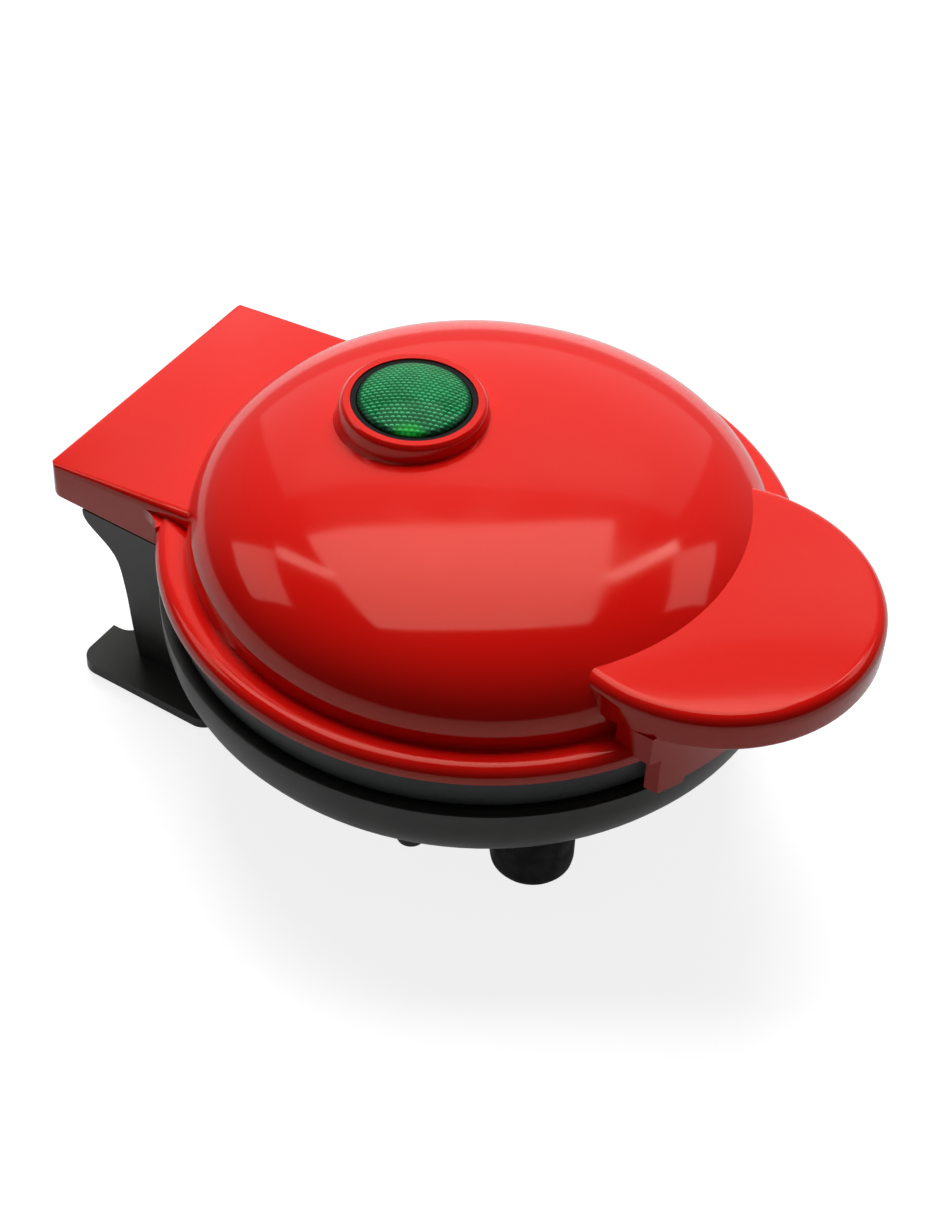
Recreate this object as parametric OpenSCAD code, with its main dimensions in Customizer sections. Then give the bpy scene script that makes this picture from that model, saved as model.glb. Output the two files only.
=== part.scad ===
// Countertop taiyaki maker: a round fish-cake iron with a hinged domed lid.
// X is the width, -Y the front with the handle, +Y the hinge side, Z up from the table.

/* [Base] */
// Outer radius of the base bowl at its rim
base_rim_r = 63.2; // [56:0.1:76]
// Height of the bowl's rim above the table
base_rim_z = 34.4; // [32:0.1:42]
// Height of the bowl's underside above the table
base_floor_z = 9.2; // [7:0.1:11]
// How square the bowl's side is, 2 is an ellipse
bowl_power = 2.8; // [2.2:0.1:3.4]
// Wall of the moulded base
base_wall = 2.2; // [1.8:0.1:2.8]

/* [Rear column] */
// How far the column's foot stands inside the line of the bowl's rim
column_foot_in = 1.2; // [0.5:0.1:4]
// How far the column's waist stands behind the bowl's rim
column_waist_out = 1.2; // [0.6:0.1:2.8]
// Gap between the column's top and the underside of the lid's rear block
column_top_gap = 0.4; // [0.3:0.1:1]
// Half width of the foot plate
foot_plate_half_w = 40.2; // [35:0.5:44]
// How far the foot plate reaches behind the bowl's rim
foot_plate_out = 8.4; // [6.5:0.1:12]
// Thickness of the foot plate
foot_plate_t = 2.4; // [2:0.1:4]
// Half width of the notch in the rear edge of the foot plate
plate_notch_half_w = 28.5; // [14:0.5:30]
// Depth of that notch
plate_notch_depth = 5.5; // [3:0.5:8]

/* [Feet] */
// Radius of a front foot
foot_r = 8.3; // [6:0.5:10]
// Front feet from the centre line, as a share of the bowl's radius
foot_x_share = 0.47; // [0.4:0.01:0.52]
// Front feet ahead of the centre, as a share of the bowl's radius
foot_y_share = 0.522; // [0.47:0.01:0.56]
// Radius of the stem that plugs a foot into the base
foot_stem_r = 2.9; // [2:0.1:3.5]
// Radius of a rear pad
pad_r = 5; // [3.5:0.5:6]

/* [Lid] */
// Overhang of the lid's rim past the bowl's rim
lid_overhang = 0.3; // [0.1:0.1:1]
// Height of the dark liner band between base rim and red lip
liner_band = 9.1; // [7:0.1:12]
// Height of the red rim above its lip
flange_h = 3.2; // [3:0.1:5]
// Rounding of the red rim's edge
flange_round = 2.7; // [1.5:0.1:3]
// Width of the rim round the dome
rim_w = 6.2; // [4.5:0.1:8]
// Height of the dome over the rim
dome_h = 22.4; // [19:0.1:28]
// How square the dome's shoulder is, 2 is an ellipse
dome_power = 2.35; // [2:0.05:3]
// Wall of the moulded lid
lid_wall = 2.2; // [1.8:0.1:2.8]

/* [Handle] */
// Radius of the handle's round front
handle_r = 32.8; // [26:0.5:36]
// Distance of the handle's centre inside the lid's rim
handle_in = 13.1; // [8:0.1:18]
// Height of the handle's top above the rim
handle_rise = 11.6; // [7:0.1:13]
// Thickness of the handle
handle_t = 8; // [7:0.1:11]
// Rounding of the handle's top edge
handle_round = 2.8; // [1.5:0.1:3.5]
// How far the skirt under the handle stands out past the lid's rim
skirt_out = 2.5; // [2:0.1:5]
// Width of the rib at each end of the skirt
skirt_rib_w = 5.4; // [2:0.5:6]

/* [Rear block] */
// Half width of the rear block and of the column
block_half_w = 32.2; // [29:0.1:36]
// Rear face of the rear block behind the lid's rim
block_out = 19.5; // [18.5:0.1:24]
// Depth of the block's underside below the red lip
block_drop = 5.7; // [4:0.1:7]
// Height of the block's top above its underside at the rear
block_rear_h = 7.8; // [7:0.1:10]
// Rise of the block's top towards the dome, in degrees
block_slope = 6.6; // [0:0.1:9]
// Radius of the block's upright corners
block_corner_r = 3.5; // [2:0.1:5]
// Radius of the hollow where the block's side runs into the rim
block_fillet_r = 7; // [3:0.5:10]
// Rounding of the block's top edges
block_round = 1.8; // [1:0.1:2.5]

/* [Hinge] */
// Hinge line behind the lid's rim
hinge_out = 13.5; // [12.5:0.1:15]
// Hinge line above the block's underside
hinge_rise = 1.9; // [1.5:0.1:2.5]
// Radius of a hinge pin
pin_r = 1.5; // [1:0.1:1.8]
// Running clearance of a pin in its knuckles
pin_fit = 0.05; // [0.02:0.01:0.1]
// Outer radius of a knuckle
knuckle_r = 3.2; // [2.8:0.1:3.5]
// Centre of each pair of base knuckles from the centre line
knuckle_x = 21; // [17:0.5:23]
// Width of a base knuckle
knuckle_w = 8; // [5:0.5:10]
// Width of a lid knuckle
lug_w = 3.6; // [2.5:0.1:4.5]
// Side clearance between knuckles
knuckle_gap = 0.4; // [0.3:0.1:0.8]

/* [Lamp lens] */
// Distance of the lens behind the lid's centre
lens_y = 16.5; // [12:0.5:18]
// Radius of the green lens
lens_r = 11.1; // [9:0.1:13]
// Width of the dark ring round the lens
bezel_w = 1; // [0.8:0.1:1.6]
// Width of the red collar round the ring
collar_w = 1.9; // [1.5:0.1:3]
// Height of the collar above the dome's top
collar_rise = 3.2; // [2.5:0.1:4]
// Height of the lens's crown above its edge
lens_crown = 1.7; // [1:0.1:3]

/* [Cooking plates] */
// Width of the border between a cooking plate and the bowl's rim
plate_border = 11.2; // [10.6:0.1:14]
// Thickness of a plate beside the mould
plate_t = 4.5; // [3.5:0.1:6]
// Gap between the closed plates
plate_gap = 0.3; // [0.2:0.1:0.5]
// How far the lower plate stands above the base's rim
plate_proud = 0.8; // [0.5:0.1:1.2]
// Depth of the fish's body in each plate
body_depth = 10.5; // [8:0.1:11.5]
// Depth of its fins and tail
fin_depth = 5.5; // [4:0.1:7]
// Metal left under the mould
mould_wall = 2.3; // [1.8:0.1:3]
// Metal between the fish and the heater, besides the mould's wall
fish_gap = 0.6; // [0.5:0.1:4]
// Height of a scale's raised edge
scale_h = 0.7; // [0.4:0.1:1]
// Radius of a scale
scale_r = 4.6; // [3.8:0.1:6]
// Radius of the sealed heater tube
heater_r = 2.4; // [2:0.1:2.8]
// Distance of the heater's ring inside the plate's edge
heater_in = 6.7; // [6.7:0.1:8]

/* [Cord inlet] */
// Radius of the bore for the supply cord
cord_bore_r = 3.4; // [2.5:0.1:4]
// Height of the cord inlet above the table
cord_z = 14; // [11:0.5:16]

/* [Hidden] */
$fn = 96;
eps = 0.01;

// Colours
red = [0.82, 0.09, 0.07];
black = [0.09, 0.1, 0.09];
rubber_black = [0.03, 0.03, 0.03];
green = [0.05, 0.5, 0.22];
cast_metal = [0.2, 0.2, 0.2];
steel = [0.72, 0.72, 0.74];
sheet_metal = [0.8, 0.8, 0.82];

// Radii and depths that follow from the driving sizes
lid_rim_r = base_rim_r + lid_overhang;
dome_r = lid_rim_r - rim_w;
skirt_r = lid_rim_r + skirt_out;
handle_y = lid_rim_r - handle_in;
block_y = lid_rim_r + block_out;
hinge_y = lid_rim_r + hinge_out;
column_foot_y = base_rim_r - column_foot_in;
column_waist_y = base_rim_r + column_waist_out;
column_front_y = base_rim_r - 25.2;
foot_plate_y = base_rim_r + foot_plate_out;
foot_x = base_rim_r * foot_x_share;
foot_y = base_rim_r * foot_y_share;
plate_r = base_rim_r - plate_border;
heater_ring_r = plate_r - heater_in;
// Length of the fish from mouth to tail
fish_l = 1.95 * (heater_ring_r - heater_r - mould_wall - fish_gap);

// Heights that follow from the driving sizes
lip_z = base_rim_z + liner_band;
flange_z = lip_z + flange_h;
dome_top_z = flange_z + dome_h;
block_z = lip_z - block_drop;
column_top_z = block_z - column_top_gap;
handle_top_z = flange_z + handle_rise;
handle_z = handle_top_z - handle_t;
skirt_z = base_rim_z + 1.4;
lower_face_z = base_rim_z + plate_proud;
upper_face_z = lower_face_z + plate_gap;
hinge_z = block_z + hinge_rise;
tray_t = 1.8;
collar_z = dome_top_z + collar_rise;
foot_plate_z = 0.8;

// Clearances
seat_gap = 0.1;
ring_gap = 0.2;
lid_clear = 0.5;
screw_fit = 0.05;

// Radii and walls that several pieces share
liner_wall = 2;
liner_r = lid_rim_r - lid_wall - seat_gap;
liner_foot_r = base_rim_r - 2.5;
liner_lip_r = lid_rim_r - 0.9;
liner_z = base_rim_z + 0.2;
plate_seat_r = plate_r + 0.8;
ledge_r = plate_r - 3;
ring_top_z = base_rim_z - 0.8;
column_cut_r = lid_rim_r + lid_clear;
bezel_r = lens_r + seat_gap + bezel_w;
collar_r = bezel_r + seat_gap + collar_w;
screw_r = 1.45;
screw_head_r = 2.7;
screw_head_h = 1.8;

// The lamp holder's seat, and its bosses that end inside the dome's wall
lamp_seat_z = collar_z - 12;
lamp_boss_h = flange_z - lamp_seat_z - 1
  + shoulder_z(dome_r, dome_h, dome_power, norm([collar_r + 3.4, lens_y]) + 2.6);

// Places of the screws
plate_post_r = 3.2;
plate_post_at = heater_ring_r - heater_r - plate_post_r - 2;
plate_post_x = plate_post_at * sin(21.8);
plate_post_y = plate_post_at * cos(21.8);
liner_screw_r = (plate_seat_r + liner_wall + liner_foot_r - liner_wall) / 2;
liner_screw_angles = [25, 155, 205, 335];
liner_post_z = upper_face_z + plate_t + 2.4;
liner_thread_z = flange_z - 1.5;
base_screw_r = plate_r + 2.5;
base_screw_z = ring_top_z - 14.6;
base_screw_angles = [20, 160, 200, 340];

// A closed curve through the given points
function closed_curve(p, steps) = [for (i = [0:len(p) - 1], s = [0:steps - 1])
  curve_point(p[(i + len(p) - 1) % len(p)], p[i], p[(i + 1) % len(p)], p[(i + 2) % len(p)], s / steps)];
// An open curve through the given points, ends included
function open_curve(p, steps) = concat([for (i = [0:len(p) - 2], s = [0:steps - 1])
  curve_point(p[max(i - 1, 0)], p[i], p[i + 1], p[min(i + 2, len(p) - 1)], s / steps)], [p[len(p) - 1]]);
function curve_point(a, b, c, d, t) = 0.5 * ((2 * b) + (c - a) * t
  + (2 * a - 5 * b + 4 * c - d) * pow(t, 2) + (3 * b - a - 3 * c + d) * pow(t, 3));

// A quarter of a rounded-square curve, from (r, 0) to (0, h)
function shoulder(r, h, n, steps) = [for (i = [0:steps])
  let (a = 90 * i / steps) [r * pow(cos(a), 2 / n), h * pow(sin(a), 2 / n)]];

// Height of such a curve at a given radius
function shoulder_z(r, h, n, at) = h * pow(1 - pow(min(at, r) / r, n), 1 / n);

// A bar along Z with rounded upright corners
module rounded_rect(x, y, r) {
  square([x, y - 2 * r], center = true);
  square([x - 2 * r, y], center = true);
  for (sx = [-1, 1], sy = [-1, 1])
    translate([sx * (x / 2 - r), sy * (y / 2 - r)]) circle(r, $fn = 32);
}

module at_angles(r, angles) {
  for (a = angles) rotate([0, 0, a]) translate([r, 0, 0]) children();
}

module at_plate_posts() {
  for (sx = [-1, 1], sy = [-1, 1])
    translate([sx * plate_post_x, sy * plate_post_y, 0]) children();
}

// A profile in the YZ plane drawn out along X
module along_x(half_w) {
  rotate([90, 0, 90]) translate([0, 0, -half_w]) linear_extrude(2 * half_w) children();
}

// A screw standing on its head at z = 0, thread upwards
module screw(l) {
  difference() {
    cylinder(h = screw_head_h, r = screw_head_r, $fn = 32);
    translate([0, 0, -eps]) cylinder(h = 0.9, r = 1.3, $fn = 6);
  }
  translate([0, 0, screw_head_h - eps]) cylinder(h = l, r = screw_r, $fn = 32);
}

// Base bowl

module bowl_solid(inset) {
  r = base_rim_r - inset;
  h = base_rim_z - base_floor_z - inset;
  rotate_extrude()
    polygon(concat([[0, base_rim_z], [r - 0.45, base_rim_z], [r - 0.12, base_rim_z - 0.12], [r, base_rim_z - 0.45]],
      [for (i = [1:16]) let (p = shoulder(r, h, bowl_power, 16)[i]) [p[0], base_rim_z - p[1]]]));
}

// Rear face of the column from the foot plate to the flare under the hinge
flare_y = hinge_y - hinge_rise - 0.9;
column_back = open_curve([
  [column_foot_y, foot_plate_z + foot_plate_t],
  [column_waist_y - 1.2, column_top_z * 0.3],
  [column_waist_y, column_top_z * 0.56],
  [column_waist_y + 2.2, column_top_z * 0.77],
  [flare_y - 1.4, column_top_z * 0.91],
  [flare_y, column_top_z - 1.2]], 4);

module column_outline() {
  polygon(concat([[column_front_y, foot_plate_z]], [[column_foot_y, foot_plate_z]], column_back,
    [[flare_y, column_top_z], [column_front_y, column_top_z]]));
}

module column_solid() {
  along_x(block_half_w) column_outline();
}

module column_hollow() {
  along_x(block_half_w - base_wall)
    intersection() {
      translate([-base_wall, 0]) column_outline();
      translate([column_front_y + base_wall, foot_plate_z + foot_plate_t])
        square([60, column_top_z - base_wall - foot_plate_z - foot_plate_t]);
    }
}

// Side view of the channel for the wires, up behind the bowl to the hinge
module wire_channel() {
  wy = column_waist_y - 2.3;
  tz = column_top_z;
  polygon([[wy - 3, tz - 19], [wy, tz - 19], [wy, tz - 16.4], [wy + 2.3, tz - 9.1], [wy + 5.6, tz - 5.4], [wy + 8.2, tz - 2.6],
    [wy + 8.7, tz + 4], [wy + 4.2, tz + 4], [wy + 4.2, tz - 3.2], [wy + 1.4, tz - 6.4], [wy - 0.6, tz - 9.4], [wy - 3, tz - 13]]);
}

module foot_plate() {
  plate_l = foot_plate_y - column_front_y;
  translate([0, 0, foot_plate_z]) linear_extrude(foot_plate_t)
    difference() {
      translate([0, column_front_y + plate_l / 2]) rounded_rect(2 * foot_plate_half_w, plate_l, 4);
      translate([0, foot_plate_y]) rounded_rect(2 * plate_notch_half_w, 2 * plate_notch_depth, 4);
    }
}

// One base knuckle: an arm that leans back from the column's top to the hinge line
module base_knuckle() {
  along_x(knuckle_w / 2)
    union() {
      translate([hinge_y, hinge_z]) circle(knuckle_r, $fn = 48);
      polygon([[flare_y - 7, column_top_z - 1], [flare_y - 7, column_top_z + 0.3],
        [hinge_y - 1.5, hinge_z + knuckle_r - 0.35], [hinge_y + 1.5, hinge_z - knuckle_r + 0.35],
        [flare_y - 0.6, column_top_z - 1]]);
    }
}

module foot_stem_holes() {
  for (sx = [-1, 1]) translate([sx * foot_x, -foot_y, 0]) cylinder(h = 30, r = foot_stem_r + seat_gap, $fn = 32);
}

module base_shell() {
  inner_floor = base_floor_z + base_wall;
  color(black)
    difference() {
      union() {
        bowl_solid(0);
        difference() {
          column_solid();
          translate([0, 0, base_rim_z - 0.3]) cylinder(h = 20, r = column_cut_r);
        }
        foot_plate();
        for (sx = [-1, 1]) translate([sx * knuckle_x, 0, 0]) base_knuckle();
      }
      difference() {
        bowl_solid(base_wall);
        at_angles(base_screw_r, base_screw_angles)
          cylinder(h = ring_top_z - 11 - seat_gap, r = 5, $fn = 48);
      }
      // seat for the ring
      translate([0, 0, ring_top_z - 2.2]) cylinder(h = 10, r = base_rim_r - base_wall + 0.2);
      difference() {
        column_hollow();
        bowl_solid(0);
      }
      // way for the wires from column to bowl, and up through the hinge
      translate([-9, column_foot_y - 17, column_top_z - 21.4]) cube([18, 16.2, 9]);
      along_x(7) wire_channel();
      // pin bores
      for (sx = [-1, 1])
        translate([sx * (knuckle_x - 14), hinge_y, hinge_z]) rotate([0, sx * 90, 0])
          cylinder(h = 28, r = pin_r + pin_fit, $fn = 32);
      // cord inlet
      translate([0, column_foot_y + 8, cord_z]) rotate([90, 0, 0])
        cylinder(h = 14, r = cord_bore_r + 2.1, $fn = 48);
      foot_stem_holes();
      // pockets for the base screws
      at_angles(base_screw_r, base_screw_angles) {
        cylinder(h = base_screw_z, r = screw_head_r + 0.3, $fn = 32);
        cylinder(h = 40, r = screw_r + 0.25, $fn = 32);
      }
      // recesses for the rear pads
      rear_pad_places() translate([0, 0, foot_plate_z - eps]) cylinder(h = 0.5 + eps, r = pad_r + seat_gap, $fn = 48);
    }
}

module rear_pad_places() {
  for (sx = [-1, 1]) translate([sx * (foot_plate_half_w - 8), foot_plate_y - 8, 0]) children();
}

module rear_pads() {
  color(rubber_black) rear_pad_places() cylinder(h = foot_plate_z + 0.5 - eps, r = pad_r, $fn = 48);
}

// A rubber foot that fills in up to the bowl and plugs into it
module front_foot(side) {
  color(rubber_black)
    translate([side * foot_x, -foot_y, 0]) {
      difference() {
        rotate_extrude()
          polygon([[0, 0], [foot_r - 1.6, 0], [foot_r - 0.8, 0.35], [foot_r - 0.2, 1.2], [foot_r, 2.4], [foot_r, 18], [0, 18]]);
        translate([-side * foot_x, foot_y, 0]) bowl_solid(0);
      }
      foot_head_z = foot_head_height();
      cylinder(h = foot_head_z + 1, r = foot_stem_r, $fn = 32);
      translate([0, 0, foot_head_z]) cylinder(h = 2, r1 = foot_stem_r + 1.2, r2 = foot_stem_r - 0.6, $fn = 32);
    }
}

// Height of the bowl's inside where the outer edge of a foot's head passes it
function foot_head_height() = base_rim_z
  - shoulder_z(base_rim_r - base_wall, base_rim_z - base_floor_z - base_wall, bowl_power,
    norm([foot_x, foot_y]) + foot_stem_r + 1.2) + seat_gap;

module front_foot_left() { front_foot(-1); }
module front_foot_right() { front_foot(1); }

module hinge_pin(side) {
  pin_l = knuckle_w + 2 * (lug_w + knuckle_gap) - 0.4;
  color(steel) translate([side * knuckle_x - pin_l / 2, hinge_y, hinge_z])
    rotate([0, 90, 0]) cylinder(h = pin_l, r = pin_r, $fn = 32);
}

module hinge_pin_left() { hinge_pin(-1); }
module hinge_pin_right() { hinge_pin(1); }

// The dark ring that carries the lower plate
module base_ring() {
  outer = base_rim_r - base_wall;
  color(black)
    difference() {
      union() {
        translate([0, 0, ring_top_z - liner_wall]) cylinder(h = liner_wall, r = outer);
        translate([0, 0, lower_face_z - plate_t - 2.2]) cylinder(h = ring_top_z - lower_face_z + plate_t + 2.2, r = plate_seat_r + 2);
        at_angles(base_screw_r, base_screw_angles)
          translate([0, 0, ring_top_z - 11]) cylinder(h = 11, r = 2.9, $fn = 32);
      }
      translate([0, 0, lower_face_z - plate_t - seat_gap]) cylinder(h = 20, r = plate_seat_r);
      cylinder(h = 60, r = ledge_r);
      at_angles(base_screw_r, base_screw_angles)
        translate([0, 0, 10]) cylinder(h = lower_face_z - plate_t - 11.5, r = screw_r + screw_fit, $fn = 32);
    }
}

module base_screws() {
  color(steel) at_angles(base_screw_r, base_screw_angles)
    translate([0, 0, base_screw_z - screw_head_h]) screw(9);
}

// Fish mould

fish_k = fish_l / 78;
// Outline of body and fins, mouth at -X and tail at +X
fish_outline = closed_curve([for (p = [
  [-40, 1.5], [-37.5, 8.5], [-30.5, 15], [-21.5, 19], [-14, 25.5], [-4, 28], [7, 26], [15, 19.5],
  [22, 11.5], [27.5, 8.5], [32, 14], [36.4, 15.7], [37.6, 9], [34.2, 1], [38, -7.5], [36.8, -15.5],
  [31, -12.5], [26.5, -7], [20.5, -9.5], [16.5, -16.5], [8, -19.5], [0, -20.5], [-6, -25.5],
  [-14.5, -26], [-20, -20], [-28.5, -17], [-35, -11.5], [-39.5, -4.5], [-38, -1]]) p * fish_k], 4);
// Outline of the deeper body
body_outline = closed_curve([for (p = [
  [-38, 1.5], [-34.5, 8.5], [-27, 14.2], [-15, 18.2], [-2, 18.6], [10, 14.8], [20, 8.2], [25.5, 4],
  [26.5, -0.5], [22, -4.8], [12, -12.2], [0, -16.4], [-13, -17.6], [-25, -14.8], [-33, -9.5], [-37, -3.5]]) p * fish_k], 4);
crown_r = 130;

// The space of one fish, face at z = 0 and depth downwards
module fish_space() {
  intersection() {
    translate([0, 0, -body_depth]) linear_extrude(body_depth + 1) polygon(body_outline);
    translate([-6 * fish_k, 0, crown_r - body_depth]) sphere(crown_r, $fn = 128);
  }
  translate([0, 0, -fin_depth]) linear_extrude(fin_depth + 1) polygon(fish_outline);
}

// Raised edges in the mould: scales, gill, eye, mouth and the rays of fins and tail
module arc_wall(r, w, from, to, h) {
  rotate([0, 0, from]) rotate_extrude(angle = to - from, $fn = 48)
    translate([r - w, -body_depth - 1]) square([w, h + 1]);
}

function scale_floor(x, y) = crown_r - sqrt(pow(crown_r, 2) - pow(x + 6 * fish_k, 2) - pow(y, 2));

module scales() {
  pitch = 1.75 * scale_r;
  for (row = [-2:2], col = [0:4]) {
    x = (-11 + col * 7.4 + (row % 2 == 0 ? 0 : 3.7)) * fish_k;
    y = row * 6 * fish_k;
    if (abs(y) < (15.5 - max(x, 0) * 0.52 / fish_k) * fish_k)
      translate([x, y, scale_floor(x + scale_r, y)]) arc_wall(scale_r, 0.9, -62, 62, scale_h + 0.25);
  }
}

module fish_lines() {
  scales();
  // gill cover
  translate([-31 * fish_k, 0, scale_floor(-18, 0)]) arc_wall(14 * fish_k, 1.2, -48, 48, 1.1);
  // eye
  translate([-27 * fish_k, 5.5 * fish_k, scale_floor(-27, 5)]) {
    arc_wall(3, 0.9, 0, 360, 1.2);
    translate([0, 0, -body_depth - 1]) cylinder(h = 2.3, r = 1.1, $fn = 32);
  }
  // mouth
  translate([-38.5 * fish_k, -9.5 * fish_k, scale_floor(-33, -6)]) arc_wall(7 * fish_k, 0.9, 20, 75, 1.2);
  // rays
  for (i = [0:4]) ray([-11 + i * 5.4, 19.5 - i * 0.9], 96 - i * 9, 4.6);
  for (i = [0:2]) ray([-18 + i * 4, -18.6], -104 + i * 9, 4);
  for (i = [-2:2]) ray([28.5, i * 2.2], i * 17, 6.5);
}

module ray(from, angle, l) {
  translate([from[0] * fish_k, from[1] * fish_k, -fin_depth - 1]) rotate([0, 0, angle])
    translate([0, -0.5, 0]) cube([l * fish_k, 1, 1 + scale_h]);
}

// One plate, face at z = 0, mould and posts downwards
module cooking_plate() {
  difference() {
    union() {
      translate([0, 0, -plate_t]) cylinder(h = plate_t - 0.6, r = plate_r);
      translate([0, 0, -0.6 - eps]) cylinder(h = 0.6 + eps, r1 = plate_r, r2 = plate_r - 0.6);
      translate([0, 0, -body_depth - mould_wall]) linear_extrude(body_depth + mould_wall - 1)
        offset(delta = mould_wall) polygon(body_outline);
      translate([0, 0, -fin_depth - mould_wall]) linear_extrude(fin_depth + mould_wall - 1)
        offset(delta = mould_wall) polygon(fish_outline);
      at_plate_posts() translate([0, 0, -post_depth]) cylinder(h = post_depth - 1, r = plate_post_r, $fn = 32);
    }
    difference() {
      fish_space();
      fish_lines();
    }
    at_plate_posts() translate([0, 0, -post_depth - eps]) cylinder(h = 7, r = screw_r + screw_fit, $fn = 32);
  }
}
post_depth = body_depth + mould_wall + 1;

module lower_plate() {
  color(cast_metal) translate([0, 0, lower_face_z]) cooking_plate();
}

module upper_plate() {
  color(cast_metal) translate([0, 0, upper_face_z]) mirror([0, 0, 1]) cooking_plate();
}

// A sealed heater tube bent into a horseshoe under the plate, ends turned away from it
module heater() {
  z = -plate_t - heater_r - 0.02;
  translate([0, 0, z]) {
    rotate([0, 0, 112]) rotate_extrude(angle = 316, $fn = 96) translate([heater_ring_r, 0]) circle(heater_r, $fn = 24);
    for (a = [112, 68]) rotate([0, 0, a]) translate([heater_ring_r, 0, 0]) {
      sphere(heater_r, $fn = 24);
      translate([0, 0, -6]) cylinder(h = 6, r = heater_r, $fn = 24);
      translate([0, 0, -11]) cylinder(h = 6, r = 1, $fn = 24);
    }
  }
}

module lower_heater() {
  color(steel) translate([0, 0, lower_face_z]) heater();
}

module upper_heater() {
  color(steel) translate([0, 0, upper_face_z]) mirror([0, 0, 1]) heater();
}

// A bright sheet dish behind the heater, clamped between the ledge and the screws
module reflector() {
  t = 0.6;
  seat = plate_t + 2.2 + 2 * seat_gap;
  pan_r = ledge_r - 0.5;
  translate([0, 0, -seat])
    difference() {
      union() {
        translate([0, 0, -t]) cylinder(h = t, r = plate_r - 1);
        translate([0, 0, seat - post_depth - t]) cylinder(h = post_depth - seat + t, r = pan_r);
      }
      translate([0, 0, seat - post_depth]) cylinder(h = post_depth, r = pan_r - t);
      at_plate_posts() translate([0, 0, -30]) cylinder(h = 60, r = screw_r + 0.3, $fn = 32);
      for (a = [112, 68]) rotate([0, 0, a]) translate([heater_ring_r, 0, -30]) cylinder(h = 60, r = 1.8 + heater_r - 1, $fn = 32);
    }
}

module lower_reflector() {
  color(sheet_metal) translate([0, 0, lower_face_z]) reflector();
}

module upper_reflector() {
  color(sheet_metal) translate([0, 0, upper_face_z]) mirror([0, 0, 1]) reflector();
}

module plate_screws() {
  at_plate_posts() translate([0, 0, -post_depth - 0.6 - seat_gap - screw_head_h]) screw(6);
}

module lower_plate_screws() {
  color(steel) translate([0, 0, lower_face_z]) plate_screws();
}

module upper_plate_screws() {
  color(steel) translate([0, 0, upper_face_z]) mirror([0, 0, 1]) plate_screws();
}

// A snap disc thermostat on the reflector, with its two tabs
module thermostat() {
  z = -post_depth - 0.6 - seat_gap;
  translate([-16, 12, z]) {
    translate([0, 0, -3.6]) cylinder(h = 3.6, r = 6.5, $fn = 48);
    for (s = [-1, 1]) translate([s * 3 - 0.4, -1.6, -5.2]) cube([0.8, 3.2, 2]);
  }
}

module lower_thermostat() {
  color(black) translate([0, 0, lower_face_z]) thermostat();
}

module upper_thermostat() {
  color(black) translate([0, 0, upper_face_z]) mirror([0, 0, 1]) thermostat();
}

module thermal_fuse() {
  z = upper_face_z + post_depth + 0.6 + 2 * seat_gap + 1.4;
  color(sheet_metal) translate([8, -6, z]) {
    rotate([0, 90, 0]) cylinder(h = 11, r = 1.4, $fn = 24);
    translate([-8, 0, 0]) rotate([0, 90, 0]) cylinder(h = 27, r = 0.5, $fn = 24);
  }
}

// Lid

// Outline of the rear block in plan
module block_plan(inset) {
  w = block_half_w - inset;
  y = block_y - inset;
  r = block_corner_r - inset * 0.6;
  translate([0, (y + 20) / 2]) rounded_rect(2 * w, y - 20, r);
}

// Hollow corner where the block's side runs into the rim
module block_corner_fill() {
  c = [block_half_w + block_fillet_r, sqrt(pow(lid_rim_r + block_fillet_r, 2) - pow(block_half_w + block_fillet_r, 2))];
  t = c * lid_rim_r / (lid_rim_r + block_fillet_r);
  for (s = [0, 1]) mirror([s, 0])
    difference() {
      polygon([[block_half_w - 6, c[1]], c, t, [block_half_w - 6, t[1] - 4]]);
      translate(c) circle(block_fillet_r, $fn = 48);
    }
}

// Side view of the block: flat underside, top that rises towards the dome
function block_top_at(y) = block_z + block_rear_h + (block_y - y) * tan(block_slope);

module block_side(inset, reach) {
  rr = block_round;
  polygon(concat([[reach, block_z - (inset > 0 ? 5 : 0)], [block_y - inset, block_z - (inset > 0 ? 5 : 0)]],
    [for (i = [0:6]) let (a = 15 * i) [block_y - inset - rr + rr * cos(a), block_top_at(block_y) - inset - rr + rr * sin(a)]],
    [[reach, block_top_at(reach) - inset]]));
}

// Front view of the block, for the rounding of its long top edges
module block_front(inset) {
  w = block_half_w - inset;
  z = block_top_at(block_y) - inset;
  rr = block_round;
  polygon(concat([[-w, block_z - 6]], [[w, block_z - 6]],
    [for (i = [0:6]) let (a = 15 * i) [w - rr + rr * cos(a), z - rr + rr * sin(a)]],
    [for (i = [0:6]) let (a = 90 + 15 * i) [-w + rr + rr * cos(a), z - rr + rr * sin(a)]]));
}

module block_solid(inset) {
  reach = 20;
  intersection() {
    along_x(block_half_w + 20) block_side(inset, reach);
    // the rounded top edges follow the slope
    translate([0, block_y, block_top_at(block_y)]) rotate([-block_slope, 0, 0]) translate([0, 0, -block_top_at(block_y)])
      rotate([90, 0, 0]) translate([0, 0, -10]) linear_extrude(100) block_front(inset);
    translate([0, 0, block_z - 6]) linear_extrude(60) block_plan(inset);
  }
}

module dome_solid(inset) {
  r = dome_r - inset;
  h = dome_h - inset;
  base = flange_z;
  rotate_extrude($fn = 128)
    polygon(concat([[0, base - 12], [r, base - 12]], [for (p = shoulder(r, h, dome_power, 20)) [p[0], base + p[1]]]));
}

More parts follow.
